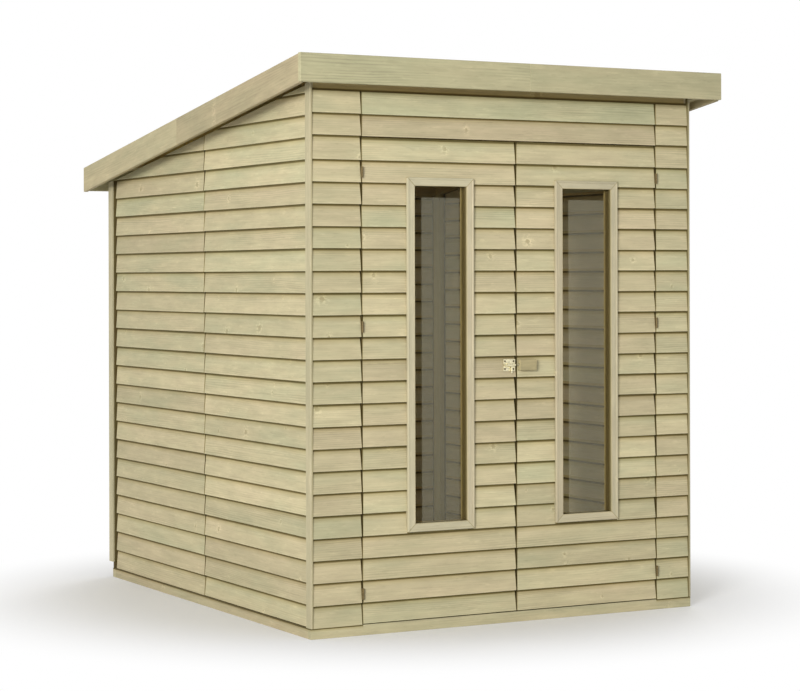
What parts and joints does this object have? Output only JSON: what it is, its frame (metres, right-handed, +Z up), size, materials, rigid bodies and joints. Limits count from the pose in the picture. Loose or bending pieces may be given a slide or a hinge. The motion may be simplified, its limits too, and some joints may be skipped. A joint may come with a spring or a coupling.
{
  "type": "wooden garden shed",
  "caption": "Overlap boarded garden shed with a pent roof falling to the back and outward opening glazed double doors that a sliding bolt locks.",
  "frame": {"origin": "the middle of the underside of the floor", "axes": "+Z up; the door wall faces -Y; +X is to the right of someone facing the doors"},
  "size_m": [2.008, 2.3783, 2.295],
  "materials": {
    "boarding": "sawn, pressure treated",
    "framing": "sawn, pressure treated",
    "floor_timber": "sawn, pressure treated",
    "floor_boards": "sawn, pressure treated",
    "trim_timber": "planed, pressure treated",
    "fascia_timber": "sawn, pressure treated",
    "roof_boards": "pressed board",
    "roof_felt": "mineral faced felt",
    "hinge_metal": "zinc plated",
    "bolt_metal": "zinc plated",
    "window_glass": "clear"
  },
  "bodies": {
    "root": {"floor_rim": "floor_timber", "floor_joists": "floor_timber", "floor_deck": "floor_boards", "front_left_panel": "boarding", "front_right_panel": "boarding", "header_panel": "boarding", "front_wall_frame": "framing", "front_wall_plate": "framing", "left_wall_front_panel": "boarding", "left_wall_rear_panel": "boarding", "left_wall_frame": "framing", "right_wall_front_panel": "boarding", "right_wall_rear_panel": "boarding", "right_wall_frame": "framing", "back_wall_left_panel": "boarding", "back_wall_right_panel": "boarding", "back_wall_frame": "framing", "front_corner_strips": "trim_timber", "back_corner_strips": "trim_timber", "roof_rafters": "framing", "roof_deck": "roof_boards", "roof_felt": "roof_felt", "front_fascia": "fascia_timber", "back_fascia": "fascia_timber", "left_bargeboard": "fascia_timber", "right_bargeboard": "fascia_timber", "left_hinges_fixed": "hinge_metal", "right_hinges_fixed": "hinge_metal"},
    "left_door": {"left_door_boards": "boarding", "left_door_frame": "framing", "left_window_trim": "trim_timber", "left_window_glass": "window_glass", "left_hinges_moving": "hinge_metal", "bolt_plate": "bolt_metal"},
    "right_door": {"right_door_boards": "boarding", "right_door_frame": "framing", "right_window_trim": "trim_timber", "right_window_glass": "window_glass", "right_hinges_moving": "hinge_metal", "bolt_keep": "trim_timber"},
    "bolt": {"bolt_rod": "bolt_metal", "bolt_handle": "bolt_metal"}
  },
  "joints": [
    {"name": "left_door_hinge", "type": "hinge", "parent": "root", "child": "left_door", "pos_m": [-0.683, -1.072, 1.042], "axis": [0, 0, -1], "range_deg": [0, 150]},
    {"name": "right_door_hinge", "type": "hinge", "parent": "root", "child": "right_door", "pos_m": [0.735, -1.072, 1.042], "axis": [0, 0, 1], "range_deg": [0, 150]},
    {"name": "bolt_slide", "type": "slide", "parent": "left_door", "child": "bolt", "axis": [1, 0, 0], "range_m": [0, 0.024]}
  ]
}
